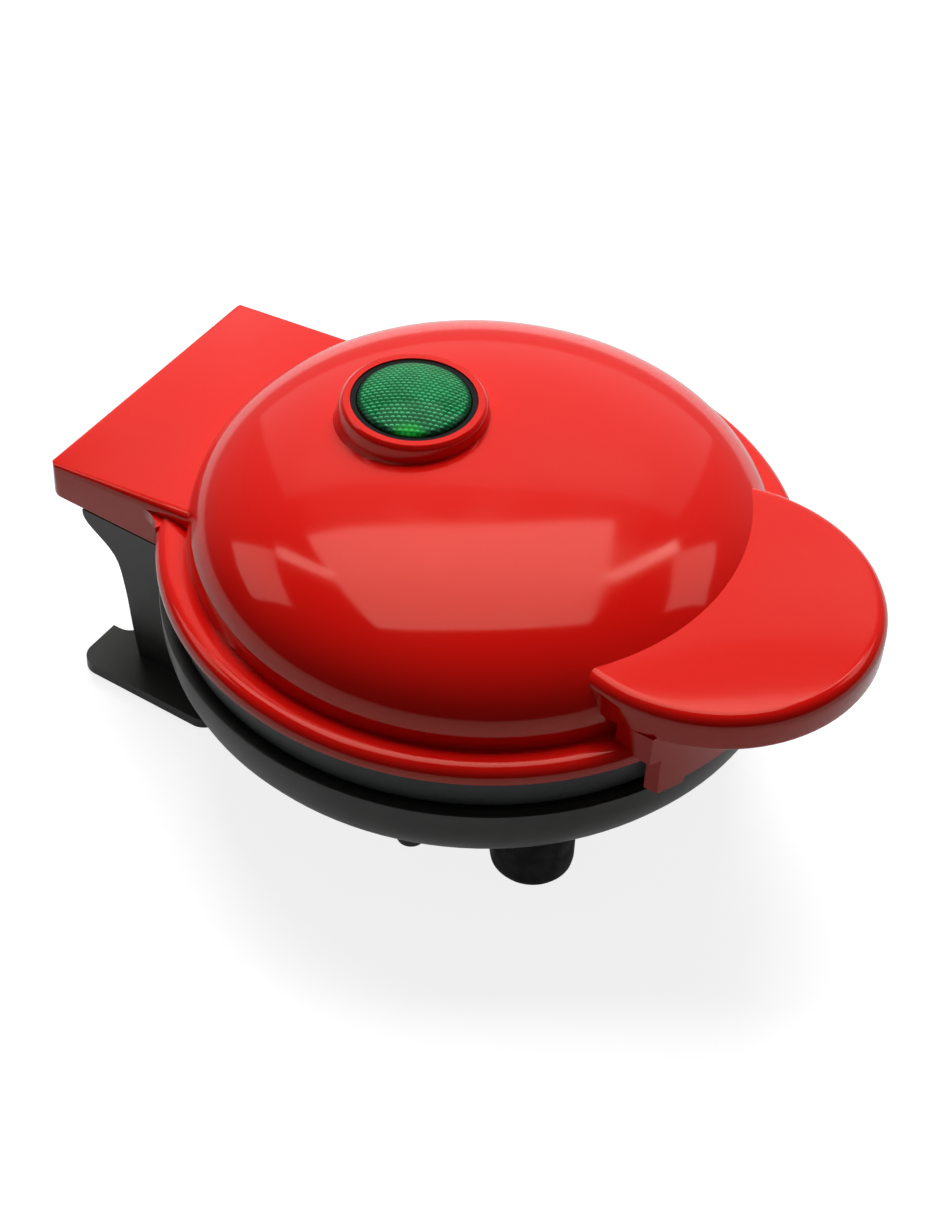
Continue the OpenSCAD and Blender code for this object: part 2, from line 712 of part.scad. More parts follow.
// The rim from the dome's foot out to its rounded edge and down to the lip
module flange_solid() {
  rr = flange_round;
  groove = 0.5;
  rotate_extrude($fn = 128)
    polygon(concat([[0, lip_z], [lid_rim_r, lip_z]],
      [for (i = [0:6]) let (a = 15 * i) [lid_rim_r - rr + rr * cos(a), flange_z - rr + rr * sin(a)]],
      [[dome_r + 1.6, flange_z - groove * 0.4], [dome_r + 0.4, flange_z - groove], [0, flange_z - groove]]));
}

module handle_solid(inset, deep) {
  r = handle_r - inset;
  rr = max(handle_round - inset, 0.4);
  low = inset > 0 ? 0.1 : 1.3;
  translate([0, -handle_y, 0])
    rotate_extrude()
      polygon(concat([[0, handle_z - deep]],
        [for (i = [0:6]) let (a = 15 * i) [r - low + low * sin(a), handle_z - deep + low - low * cos(a)]],
        [for (i = [0:6]) let (a = 15 * i) [r - rr + rr * cos(a), handle_top_z - inset - rr + rr * sin(a)]],
        [[0, handle_top_z - inset]]));
}

// Wall that closes the front under the handle, with a rib at each end
skirt_half = handle_r - 2.2;
module skirt() {
  difference() {
    union() {
      intersection() {
        translate([0, 0, skirt_z]) cylinder(h = handle_z + 3 - skirt_z, r = skirt_r - 0.9);
        translate([-skirt_half, -100, 0]) cube([2 * skirt_half, 100, 80]);
      }
      intersection() {
        translate([0, 0, skirt_z]) cylinder(h = handle_z + 3 - skirt_z, r = skirt_r);
        for (s = [-1, 1]) translate([s * (skirt_half - skirt_rib_w / 2) - skirt_rib_w / 2, -100, 0]) cube([skirt_rib_w, 100, 80]);
      }
    }
    translate([0, 0, skirt_z - 1]) cylinder(h = 60, r = max(lid_rim_r, skirt_r - 0.9 - 1.9));
  }
}

// The handle's own side walls, down to the rim
module handle_root() {
  for (s = [-1, 1])
    intersection() {
      translate([s * (handle_r - 1.4) - 1.3, -lid_rim_r, 0]) cube([2.6, lid_rim_r - handle_y + 0.5, handle_z + 1]);
      translate([0, 0, flange_z - 2]) cylinder(h = 40, r = skirt_r);
    }
}

module lens_bore_shape(r) {
  translate([0, lens_y, 40]) cylinder(h = 60, r = r);
}

module collar() {
  translate([0, lens_y, 0]) rotate_extrude()
    polygon([[0, collar_z - 11], [collar_r, collar_z - 11], [collar_r + 1.6, collar_z - 6.4], [collar_r + 0.5, collar_z - 3.2],
      [collar_r + 0.2, collar_z - 1], [collar_r - 0.1, collar_z - 0.4], [collar_r - 0.6, collar_z], [0, collar_z]]);
}

module lid_shell() {
  color(red)
    difference() {
      union() {
        dome_solid(0);
        flange_solid();
        block_solid(0);
        translate([0, 0, lip_z]) linear_extrude(block_top_at(block_y - 30) - lip_z - 3) block_corner_fill();
        difference() {
          union() {
            handle_solid(0, 0);
            handle_root();
          }
          // hollow of the handle, open below
          difference() {
            translate([0, 0, -1]) handle_solid(lid_wall, 1);
            cylinder(h = 90, r = skirt_r - 0.9);
          }
        }
        skirt();
        collar();
      }
      // inside of dome, rim and block
      difference() {
        dome_solid(lid_wall);
        difference() {
          translate([0, lens_y, collar_z - 9.5]) cylinder(h = 20, r = collar_r);
        }
      }
      translate([0, 0, lip_z - 20]) cylinder(h = 20 + flange_h - lid_wall, r = lid_rim_r - lid_wall);
      translate([0, 0, lip_z - 20]) cylinder(h = 20, r = liner_lip_r + seat_gap);
      block_solid(lid_wall);
      liner_screw_threads();
      lens_bore_shape(bezel_r + seat_gap);
    }
  color(red) lid_bosses();
}

// Posts that take the screws of liner and lamp holder
module lid_bosses() {
  difference() {
    union() {
      at_angles(liner_screw_r, liner_screw_angles)
        translate([0, 0, liner_post_z + seat_gap]) cylinder(h = liner_thread_z - liner_post_z - 0.4, r = 2.7, $fn = 32);
      lamp_screw_places() translate([0, 0, lamp_seat_z]) cylinder(h = lamp_boss_h, r = 2.6, $fn = 32);
    }
    liner_screw_threads();
    lamp_screw_places() translate([0, 0, lamp_seat_z - 1]) cylinder(h = lamp_boss_h - 0.2, r = screw_r + screw_fit, $fn = 32);
  }
}

module liner_screw_threads() {
  at_angles(liner_screw_r, liner_screw_angles)
    translate([0, 0, liner_z]) cylinder(h = liner_thread_z - liner_z, r = screw_r + screw_fit, $fn = 32);
}

module lamp_screw_places() {
  for (s = [-1, 1]) translate([s * (collar_r + 3.4), lens_y, 0]) children();
}

// Lens, its dark ring and the lamp below it
module lens() {
  z = collar_z - 0.5;
  crown = (pow(lens_r - 0.6, 2) + pow(lens_crown, 2)) / (2 * lens_crown);
  color(green) translate([0, lens_y, 0]) {
    translate([0, 0, z - 2.6]) cylinder(h = 2.6, r = lens_r);
    intersection() {
      translate([0, 0, z + lens_crown - crown]) sphere(crown, $fn = 96);
      translate([0, 0, z - 0.5]) cylinder(h = 10, r = lens_r - 0.6);
    }
  }
}

module lens_bezel() {
  top = collar_z - 0.3;
  color(black) translate([0, lens_y, 0])
    difference() {
      union() {
        translate([0, 0, collar_z - 10]) cylinder(h = top - collar_z + 10, r = bezel_r);
        translate([0, 0, collar_z - 10.9]) cylinder(h = 1.4 - seat_gap, r = collar_r);
      }
      translate([0, 0, collar_z - 3.1 - seat_gap]) cylinder(h = 10, r = lens_r + seat_gap);
      translate([0, 0, collar_z - 20]) cylinder(h = 30, r = lens_r - 1.4);
    }
}

module lamp_holder() {
  color(black)
    difference() {
      union() {
        translate([0, lens_y, lamp_seat_z - 0.4]) cylinder(h = 1.4, r = collar_r);
        translate([0, lens_y, lamp_seat_z - 5]) cylinder(h = 5, r = 5, $fn = 48);
        hull() lamp_screw_places() translate([0, 0, lamp_seat_z - 1.5]) cylinder(h = 1.4, r = 3, $fn = 32);
      }
      translate([0, lens_y, lamp_seat_z - 8]) cylinder(h = 16, r = 3.2 + seat_gap, $fn = 48);
      lamp_screw_places() translate([0, 0, lamp_seat_z - 10]) cylinder(h = 20, r = screw_r + 0.3, $fn = 32);
    }
}

module indicator_lamp() {
  color([1, 0.6, 0.3, 1]) translate([0, lens_y, lamp_seat_z - 4.5]) {
    cylinder(h = 9.5, r = 3.2, $fn = 48);
    translate([0, 0, 9.5]) sphere(3.2, $fn = 48);
    for (s = [-1, 1]) translate([s * 1.3, 0, -3]) cylinder(h = 3.2, r = 0.4, $fn = 24);
  }
}

module lamp_screws() {
  color(steel) lamp_screw_places() translate([0, 0, lamp_seat_z - 1.5 - seat_gap - screw_head_h]) screw(lamp_boss_h);
}

// The dark liner: band under the red lip, flange round the upper plate and tray under the block
module lid_liner() {
  color(black) {
    difference() {
      union() {
        rotate_extrude($fn = 128)
          polygon([[plate_seat_r, liner_z], [liner_foot_r - 0.6, liner_z], [liner_foot_r, liner_z + 0.5],
            [liner_lip_r, lip_z - 0.1], [liner_r, lip_z - 0.1], [liner_r, lip_z + 0.8], [liner_r - 1.2, lip_z + 0.8],
            [liner_foot_r - liner_wall, liner_z + liner_wall], [plate_seat_r + liner_wall, liner_z + liner_wall],
            [plate_seat_r + liner_wall, upper_face_z + plate_t + 2.2 + seat_gap],
            [ledge_r, upper_face_z + plate_t + 2.2 + seat_gap], [ledge_r, upper_face_z + plate_t + seat_gap],
            [plate_seat_r, upper_face_z + plate_t + seat_gap]]);
        at_angles(liner_screw_r, liner_screw_angles) translate([0, 0, liner_z + 1]) cylinder(h = liner_post_z - liner_z - 1, r = 3.4, $fn = 32);
        block_tray();
      }
      at_angles(liner_screw_r, liner_screw_angles) {
        translate([0, 0, liner_z - 1]) cylinder(h = 3.2, r = screw_head_r + 0.2, $fn = 32);
        translate([0, 0, liner_z - 1]) cylinder(h = 12, r = screw_r + 0.3, $fn = 32);
      }
      // way for the wires over the band, inside the rear block
      translate([-6, liner_foot_r - 4, lip_z - 2.4]) cube([6.5, 9, 6]);
      for (sx = [-1, 1])
        translate([sx * (knuckle_x - 14), hinge_y, hinge_z]) rotate([0, sx * 90, 0])
          cylinder(h = 28, r = pin_r + pin_fit, $fn = 32);
    }
  }
}

// Floor under the rear block, open round the hinge, with the lid's four hinge lugs
module block_tray() {
  edge = lid_wall + seat_gap;
  lug_at = knuckle_w / 2 + knuckle_gap + lug_w / 2;
  difference() {
    translate([0, 0, block_z]) linear_extrude(tray_t)
      difference() {
        block_plan(edge);
        circle(liner_foot_r - 0.5);
        // the base's knuckles swing through these
        for (s = [-1, 1]) translate([s * knuckle_x - knuckle_w / 2 - knuckle_gap, flare_y - 8]) square([knuckle_w + 2 * knuckle_gap, 40]);
        translate([-8, flare_y - 8]) square([16, 6]);
      }
    cylinder(h = 60, r = liner_foot_r - 0.5);
  }
  for (s = [-1, 1], t = [-1, 1])
    translate([s * knuckle_x + t * lug_at, 0, 0]) along_x(lug_w / 2) {
      translate([hinge_y, hinge_z]) circle(knuckle_r, $fn = 48);
      polygon([[flare_y - 8, block_z + 0.2], [flare_y - 8, hinge_z + 2], [hinge_y - 1, hinge_z + knuckle_r - 0.2], [hinge_y, block_z + 0.2]]);
    }
}

module liner_screws() {
  color(steel) at_angles(liner_screw_r, liner_screw_angles)
    translate([0, 0, liner_z + 2.2 - screw_head_h]) screw(liner_thread_z - liner_z - 2.4);
}

// Cord inlet and wiring

module cord_grommet() {
  wall_y = column_foot_y + 1.6;
  color(rubber_black)
    translate([0, wall_y, cord_z]) rotate([90, 0, 0])
      difference() {
        union() {
          translate([0, 0, -3]) cylinder(h = 7.4, r = cord_bore_r + 2, $fn = 48);
          translate([0, 0, -4.6]) cylinder(h = 2.4, r = cord_bore_r + 3.6, $fn = 48);
          translate([0, 0, 3.4]) cylinder(h = 1, r = cord_bore_r + 3.2, $fn = 48);
        }
        translate([0, 0, -10]) cylinder(h = 20, r = cord_bore_r, $fn = 48);
      }
}

module terminal_block() {
  color([0.85, 0.84, 0.8]) translate([14, column_foot_y - 16, foot_plate_z + foot_plate_t + seat_gap])
    difference() {
      cube([12, 9, 7]);
      for (x = [3, 9]) translate([x, -1, 3.5]) rotate([-90, 0, 0]) cylinder(h = 11, r = 1.4, $fn = 24);
    }
}

// A wire as a chain of straight round runs with ball corners
module wire(points, r) {
  for (i = [0:len(points) - 2]) {
    d = points[i + 1] - points[i];
    translate(points[i]) rotate([0, acos(d[2] / norm(d)), atan2(d[1], d[0])]) cylinder(h = norm(d), r = r, $fn = 8);
    if (i > 0) translate(points[i]) sphere(r * 1.08, $fn = 8);
  }
}

module base_wiring() {
  tb_z = foot_plate_z + foot_plate_t + seat_gap + 3.5;
  low_z = lower_face_z - post_depth - 5.5;
  cy = column_foot_y;
  wy = column_waist_y - 2.3;
  tz = column_top_z;
  color([0.85, 0.84, 0.8]) {
    wire([[17, cy - 11, tb_z], [17, cy - 3.8, tb_z], [10.5, cy - 3.6, tz - 23.4], [7, wy - 1.7, tz - 17], [3, wy - 1, tz - 12.9],
      [3, wy + 0.35, tz - 10], [3, wy + 4.2, tz - 4.9], [3, wy + 6.4, tz - 1.4], [3, wy + 6.4, tz + 0.2]], 1);
    wire([[23, cy - 11, tb_z], [23, cy - 5.4, tb_z], [9, cy - 6.4, tz - 25], [-5, cy - 6, tz - 18.2], [-6, cy - 18, tz - 18.4],
      [-13, 21, low_z], [-13, 13.7, low_z]], 1);
  }
}

module lid_wiring() {
  wy = column_waist_y - 2.3;
  z = upper_face_z + post_depth + 5.6;
  color([0.85, 0.84, 0.8])
    wire([[-3, wy + 6.4, block_z + tray_t + 0.4], [-3, wy + 5.6, block_z + 4.6], [-3, dome_r - 2.3, flange_z - 2.5],
      [-3, dome_r - 11.4, z], [-10, 24, z], [-13, 13.7, z]], 1);
}

lid_shell();
lens();
lens_bezel();
lamp_holder();
indicator_lamp();
lamp_screws();
lid_liner();
liner_screws();
upper_plate();
upper_heater();
upper_reflector();
upper_plate_screws();
upper_thermostat();
thermal_fuse();
lid_wiring();
base_shell();
hinge_pin_left();
hinge_pin_right();
base_ring();
base_screws();
lower_plate();
lower_heater();
lower_reflector();
lower_plate_screws();
lower_thermostat();
front_foot_left();
front_foot_right();
rear_pads();
cord_grommet();
terminal_block();
base_wiring();
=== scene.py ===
import math

import bmesh
import bpy
from mathutils import Matrix, Vector


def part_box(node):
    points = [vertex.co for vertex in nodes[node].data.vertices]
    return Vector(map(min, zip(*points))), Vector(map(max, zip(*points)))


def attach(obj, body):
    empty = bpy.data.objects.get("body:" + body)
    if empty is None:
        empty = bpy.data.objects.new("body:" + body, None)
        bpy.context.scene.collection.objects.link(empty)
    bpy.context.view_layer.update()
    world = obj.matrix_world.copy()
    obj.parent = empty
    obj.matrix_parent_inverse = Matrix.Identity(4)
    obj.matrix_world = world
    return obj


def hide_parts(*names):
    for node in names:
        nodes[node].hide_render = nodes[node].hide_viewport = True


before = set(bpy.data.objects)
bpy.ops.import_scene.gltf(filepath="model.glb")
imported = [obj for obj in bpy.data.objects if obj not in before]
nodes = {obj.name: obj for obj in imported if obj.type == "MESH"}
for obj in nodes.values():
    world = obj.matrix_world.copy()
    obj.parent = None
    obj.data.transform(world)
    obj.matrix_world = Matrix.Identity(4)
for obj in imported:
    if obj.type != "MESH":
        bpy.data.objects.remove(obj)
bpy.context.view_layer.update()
scene = bpy.context.scene
print("frame loaded")


# The camera stands at the photograph's angle: degrees round from the front, up and rolled
cameraFacts = {
    "azimuth": -58.95,
    "elevation": 44.31,
    "roll": 2.91,
    "distance": 0.52843,
    "target": (0.00082, 0.00224, 0.02401),
    "lens": 77.62,
    "sensor": 36,
    "nearest": 0.01,
    "farthest": 20,
}


def wayTo(azimuth, elevation):
    az, el = math.radians(azimuth), math.radians(elevation)
    return Vector((math.sin(az) * math.cos(el), -math.cos(az) * math.cos(el), math.sin(el)))


def makeCamera(facts):
    roll = math.radians(facts["roll"])
    back = wayTo(facts["azimuth"], facts["elevation"])
    right = (-back).cross(Vector((0, 0, 1))).normalized()
    up = right.cross(-back)
    tiltedRight = right * math.cos(roll) + up * math.sin(roll)
    tiltedUp = up * math.cos(roll) - right * math.sin(roll)
    data = bpy.data.cameras.new("camera")
    data.lens, data.sensor_width, data.sensor_fit = facts["lens"], facts["sensor"], "AUTO"
    data.clip_start, data.clip_end = facts["nearest"], facts["farthest"]
    camera = bpy.data.objects.new("camera", data)
    place = Matrix((tiltedRight, tiltedUp, back)).transposed().to_4x4()
    place.translation = Vector(facts["target"]) + back * facts["distance"]
    camera.matrix_world = place
    scene.collection.objects.link(camera)
    scene.camera = camera


makeCamera(cameraFacts)
scene.view_settings.view_transform = "Standard"
print("camera made")


# Small helpers for node trees


def add(tree, kind, **values):
    node = tree.nodes.new(kind)
    for key, value in values.items():
        setattr(node, key, value)
    return node


def feed(tree, socket, value):
    if isinstance(value, bpy.types.NodeSocket):
        tree.links.new(value, socket)
    else:
        socket.default_value = value


def setSockets(shader, values):
    for name, value in values.items():
        shader.inputs[name].default_value = value


def reckon(tree, operation, a, b=0.0, clamp=False):
    node = add(tree, "ShaderNodeMath", operation=operation, use_clamp=clamp)
    feed(tree, node.inputs[0], a)
    feed(tree, node.inputs[1], b)
    return node.outputs[0]


def times(tree, a, b):
    return reckon(tree, "MULTIPLY", a, b)


def plus(tree, a, b, clamp=False):
    return reckon(tree, "ADD", a, b, clamp)


def distanceOf(tree, x, y):
    return reckon(tree, "SQRT", plus(tree, times(tree, x, x), times(tree, y, y)))


def smooth(tree, value, low, high, toLow=0.0, toHigh=1.0):
    node = add(tree, "ShaderNodeMapRange", interpolation_type="SMOOTHSTEP")
    for socket, item in zip(node.inputs[:5], (value, low, high, toLow, toHigh)):
        feed(tree, socket, item)
    return node.outputs[0]


def mixColour(tree, factor, a, b):
    node = add(tree, "ShaderNodeMix", data_type="RGBA", blend_type="MIX")
    factorSocket, firstColour, secondColour = node.inputs[0], node.inputs[6], node.inputs[7]
    feed(tree, factorSocket, factor)
    feed(tree, firstColour, a)
    feed(tree, secondColour, b)
    return node.outputs[2]


def noise(tree, vector, scale, detail=4.0, rough=0.55, distortion=0.0):
    node = add(tree, "ShaderNodeTexNoise")
    feed(tree, node.inputs["Vector"], vector)
    setSockets(node, {"Scale": scale, "Detail": detail, "Roughness": rough, "Distortion": distortion})
    return node.outputs["Fac"]


def objectSpace(tree):
    return add(tree, "ShaderNodeTexCoord").outputs["Object"]


def vectorMath(tree, operation, first, second=None):
    node = add(tree, "ShaderNodeVectorMath", operation=operation)
    feed(tree, node.inputs[0], first)
    if second is not None:
        node.inputs[1].default_value = second
    return node


def bump(tree, height, relief, normal=None):
    # relief is the bump's strength and its depth in metres
    node = add(tree, "ShaderNodeBump")
    setSockets(node, {"Strength": relief[0], "Distance": relief[1]})
    feed(tree, node.inputs["Height"], height)
    if normal is not None:
        feed(tree, node.inputs["Normal"], normal)
    return node.outputs["Normal"]


# Smears, dust and scratches for the red, black, non-stick and metal materials: a group that puts out
# three masks
marksFacts = {
    "smear": {"scale": 34, "detail": 3, "rough": 0.6, "distortion": 0.8},
    "smearEdge": (0.42, 0.72),
    "speck": {"scale": 1500, "detail": 2, "rough": 0.5},
    "speckEdge": (0.72, 0.80),
    "scratchStretch": (90, 1500, 700),
    "scratch": {"scale": 1, "detail": 2, "rough": 0.5, "distortion": 0.4},
    "scratchEdge": (0.69, 0.75),
    "scratchPatch": {"scale": 60, "detail": 2, "rough": 0.5},
    "patchEdge": (0.5, 0.7),
}


def makeMarksGroup():
    facts = marksFacts
    group = bpy.data.node_groups.new("handlingMarks", "ShaderNodeTree")
    face = group.interface
    face.new_socket(name="Vector", in_out="INPUT", socket_type="NodeSocketVector")
    for name in ("Smear", "Speck", "Scratch"):
        face.new_socket(name=name, in_out="OUTPUT", socket_type="NodeSocketFloat")
    start = add(group, "NodeGroupInput")
    end = add(group, "NodeGroupOutput")
    vector = start.outputs["Vector"]
    stretched = vectorMath(group, "MULTIPLY", vector, facts["scratchStretch"]).outputs[0]
    scratch = smooth(group, noise(group, stretched, **facts["scratch"]), *facts["scratchEdge"])
    patch = smooth(group, noise(group, vector, **facts["scratchPatch"]), *facts["patchEdge"])
    masks = {
        "Smear": smooth(group, noise(group, vector, **facts["smear"]), *facts["smearEdge"]),
        "Speck": smooth(group, noise(group, vector, **facts["speck"]), *facts["speckEdge"]),
        "Scratch": times(group, scratch, patch),
    }
    for name, mask in masks.items():
        group.links.new(mask, end.inputs[name])
    return group


marksGroup = makeMarksGroup()


def marksOn(tree, vector):
    node = add(tree, "ShaderNodeGroup", node_tree=marksGroup)
    feed(tree, node.inputs["Vector"], vector)
    return node.outputs


def freshMaterial(name):
    material = bpy.data.materials.new(name)
    material.use_nodes = True
    tree = material.node_tree
    tree.nodes.clear()
    shader = add(tree, "ShaderNodeBsdfPrincipled")
    output = add(tree, "ShaderNodeOutputMaterial")
    tree.links.new(shader.outputs["BSDF"], output.inputs["Surface"])
    return material, tree, shader, objectSpace(tree)


# The red lid: glossy, with long waves and a fine orange peel in its skin
redFacts = {
    "light": (0.86, 0.010, 0.006, 1),
    "deep": (0.80, 0.006, 0.004, 1),
    "cloud": {"scale": 18, "detail": 3},
    "rough": (0.10, 0.15),
    "scratchRough": 0.08,
    "sockets": {
        "IOR": 1.52,
        "Specular Tint": (1, 0.62, 0.45, 1),
        "Coat Weight": 0.18,
        "Coat Roughness": 0.05,
    },
    "waves": {"scale": 46, "detail": 2, "rough": 0.4},
    "wavesRelief": (0.10, 0.0006),
    "peel": {"scale": 900, "detail": 2, "rough": 0.4},
    "peelRelief": (0.05, 0.00004),
    "scratchRelief": (0.06, 0.00002),
}


def makeRed(facts):
    material, tree, shader, space = freshMaterial("glossRedPlastic")
    marks = marksOn(tree, space)
    cloud = noise(tree, space, **facts["cloud"])
    feed(tree, shader.inputs["Base Color"], mixColour(tree, cloud, facts["deep"], facts["light"]))
    smeared = smooth(tree, marks["Smear"], 0, 1, *facts["rough"])
    scratched = times(tree, marks["Scratch"], facts["scratchRough"])
    feed(tree, shader.inputs["Roughness"], plus(tree, smeared, scratched))
    setSockets(shader, facts["sockets"])
    waves = bump(tree, noise(tree, space, **facts["waves"]), facts["wavesRelief"])
    peel = bump(tree, noise(tree, space, **facts["peel"]), facts["peelRelief"], waves)
    feed(tree, shader.inputs["Normal"], bump(tree, marks["Scratch"], facts["scratchRelief"], peel))
    return material


# Black mouldings: housing, liner and the dull ring round the lens
blackFacts = {
    "satinBlackPlastic": {
        "light": (0.050, 0.053, 0.048, 1), "dark": (0.034, 0.037, 0.033, 1),
        "grainScale": 700, "grainStrength": 0.10, "rough": 0.34, "shine": 0.5,
    },
    "grainedBlackPlastic": {
        "light": (0.046, 0.052, 0.051, 1), "dark": (0.028, 0.032, 0.032, 1),
        "grainScale": 1500, "grainStrength": 0.55, "rough": 0.46, "shine": 0.5,
    },
    "ringBlackPlastic": {
        "light": (0.012, 0.013, 0.013, 1), "dark": (0.007, 0.008, 0.008, 1),
        "grainScale": 700, "grainStrength": 0.05, "rough": 0.45, "shine": 0.12,
    },
}
blackSkin = {
    "cloud": {"scale": 30, "detail": 3},
    "dust": (0.20, 0.20, 0.19, 1),
    "dustShare": 0.35,
    "smearRough": 0.10,
    "grainDetail": 3,
    "grainRough": 0.6,
    "grainDepth": 0.00012,
    "scratchRelief": (0.15, 0.00003),
}


def makeBlack(name):
    facts, skin = blackFacts[name], blackSkin
    material, tree, shader, space = freshMaterial(name)
    marks = marksOn(tree, space)
    colour = mixColour(tree, noise(tree, space, **skin["cloud"]), facts["dark"], facts["light"])
    dust = times(tree, marks["Speck"], skin["dustShare"])
    feed(tree, shader.inputs["Base Color"], mixColour(tree, dust, colour, skin["dust"]))
    rough = smooth(tree, marks["Smear"], 0, 1, facts["rough"], facts["rough"] + skin["smearRough"])
    feed(tree, shader.inputs["Roughness"], rough)
    setSockets(shader, {"Specular IOR Level": facts["shine"]})
    grain = noise(tree, space, facts["grainScale"], skin["grainDetail"], skin["grainRough"])
    grained = bump(tree, grain, (facts["grainStrength"], skin["grainDepth"]))
    feed(tree, shader.inputs["Normal"], bump(tree, marks["Scratch"], skin["scratchRelief"], grained))
    return material


rubberFacts = {
    "dark": (0.006, 0.006, 0.006, 1),
    "light": (0.017, 0.017, 0.016, 1),
    "cloud": {"scale": 120, "detail": 4},
    "roughNoise": {"scale": 260, "detail": 3},
    "roughEdge": (0.3, 0.7),
    "rough": (0.5, 0.72),
    "shine": 0.2,
    "grain": {"scale": 1400, "detail": 3},
    "relief": (0.25, 0.0001),
}


def makeRubber(facts):
    material, tree, shader, space = freshMaterial("mattRubber")
    cloud = noise(tree, space, **facts["cloud"])
    feed(tree, shader.inputs["Base Color"], mixColour(tree, cloud, facts["dark"], facts["light"]))
    uneven = noise(tree, space, **facts["roughNoise"])
    feed(tree, shader.inputs["Roughness"], smooth(tree, uneven, *facts["roughEdge"], *facts["rough"]))
    setSockets(shader, {"Specular IOR Level": facts["shine"]})
    grain = noise(tree, space, **facts["grain"])
    feed(tree, shader.inputs["Normal"], bump(tree, grain, facts["relief"]))
    return material


# Cast cooking plates under a dark non-stick coat with pale speckles
plateFacts = {
    "dark": (0.046, 0.045, 0.046, 1),
    "light": (0.070, 0.068, 0.067, 1),
    "cloud": {"scale": 40, "detail": 4},
    "speckle": {"scale": 2600, "detail": 1, "rough": 0.5},
    "speckleEdge": (0.66, 0.74),
    "speckleShare": 0.5,
    "speckleColour": (0.22, 0.22, 0.22, 1),
    "rough": (0.30, 0.42),
    "sockets": {"Coat Weight": 0.2, "Coat Roughness": 0.25},
    "cast": {"scale": 1100, "detail": 4, "rough": 0.6},
    "castRelief": (0.35, 0.00008),
    "scratchRelief": (0.25, 0.00003),
}


def makeNonStick(facts):
    material, tree, shader, space = freshMaterial("nonStickCasting")
    marks = marksOn(tree, space)
    speckle = smooth(tree, noise(tree, space, **facts["speckle"]), *facts["speckleEdge"])
    speckle = times(tree, speckle, facts["speckleShare"])
    base = mixColour(tree, noise(tree, space, **facts["cloud"]), facts["dark"], facts["light"])
    feed(tree, shader.inputs["Base Color"], mixColour(tree, speckle, base, facts["speckleColour"]))
    feed(tree, shader.inputs["Roughness"], smooth(tree, marks["Smear"], 0, 1, *facts["rough"]))
    setSockets(shader, facts["sockets"])
    cast = bump(tree, noise(tree, space, **facts["cast"]), facts["castRelief"])
    feed(tree, shader.inputs["Normal"], bump(tree, marks["Scratch"], facts["scratchRelief"], cast))
    return material


# Metals, each with its own drawn or brushed direction
metalFacts = {
    "blackenedSteel": {
        "light": (0.07, 0.07, 0.072, 1), "dark": (0.045, 0.045, 0.047, 1),
        "rough": 0.35, "stretch": (900, 900, 60), "strength": 0.2,
    },
    "zincPlatedSteel": {
        "light": (0.62, 0.63, 0.66, 1), "dark": (0.50, 0.51, 0.54, 1),
        "rough": 0.22, "stretch": (900, 900, 60), "strength": 0.2,
    },
    "heaterSheath": {
        "light": (0.36, 0.31, 0.27, 1), "dark": (0.24, 0.20, 0.18, 1),
        "rough": 0.38, "stretch": (300, 300, 300), "strength": 0.3,
    },
    "brightSheet": {
        "light": (0.80, 0.80, 0.82, 1), "dark": (0.70, 0.70, 0.72, 1),
        "rough": 0.20, "stretch": (60, 1200, 60), "strength": 0.25,
    },
}
metalSkin = {
    "cloud": {"scale": 90, "detail": 4},
    "brush": {"scale": 1, "detail": 3, "rough": 0.6},
    "brushEdge": (0.25, 0.75),
    "brushRough": 0.16,
    "brushDepth": 0.00004,
    "scratchRelief": (0.2, 0.00003),
}


def makeMetal(name):
    facts, skin = metalFacts[name], metalSkin
    material, tree, shader, space = freshMaterial(name)
    marks = marksOn(tree, space)
    stretched = vectorMath(tree, "MULTIPLY", space, facts["stretch"]).outputs[0]
    brushed = noise(tree, stretched, **skin["brush"])
    cloud = noise(tree, space, **skin["cloud"])
    feed(tree, shader.inputs["Base Color"], mixColour(tree, cloud, facts["dark"], facts["light"]))
    setSockets(shader, {"Metallic": 1.0})
    roughest = facts["rough"] + skin["brushRough"]
    rough = smooth(tree, brushed, *skin["brushEdge"], facts["rough"], roughest)
    feed(tree, shader.inputs["Roughness"], rough)
    drawn = bump(tree, brushed, (facts["strength"], skin["brushDepth"]))
    feed(tree, shader.inputs["Normal"], bump(tree, marks["Scratch"], skin["scratchRelief"], drawn))
    return material


sleeveFacts = {
    "dark": (0.55, 0.53, 0.46, 1),
    "light": (0.80, 0.78, 0.70, 1),
    "weave": {"Scale": 900, "Distortion": 1.5},
    "rough": 0.75,
    "relief": (0.5, 0.0002),
}


def makeSleeve(facts):
    material, tree, shader, space = freshMaterial("wovenSleeve")
    weave = add(tree, "ShaderNodeTexWave", wave_type="BANDS", bands_direction="DIAGONAL")
    feed(tree, weave.inputs["Vector"], space)
    setSockets(weave, facts["weave"])
    threads = weave.outputs["Fac"]
    feed(tree, shader.inputs["Base Color"], mixColour(tree, threads, facts["dark"], facts["light"]))
    setSockets(shader, {"Roughness": facts["rough"]})
    feed(tree, shader.inputs["Normal"], bump(tree, threads, facts["relief"]))
    return material


# Thermostat bodies and the terminal block
resinFacts = {
    "phenolic": {
        "light": (0.05, 0.032, 0.026, 1), "dark": (0.03, 0.02, 0.017, 1),
        "rough": 0.4, "scale": 90,
    },
    "paleUrea": {
        "light": (0.78, 0.76, 0.69, 1), "dark": (0.68, 0.66, 0.58, 1),
        "rough": 0.45, "scale": 120,
    },
}
resinSkin = {
    "middling": 4,       # how much finer than the clouds the roughness and the grain are
    "fine": 12,
    "roughEdge": (0.3, 0.7),
    "roughSpread": 0.12,
    "relief": (0.15, 0.00005),
}


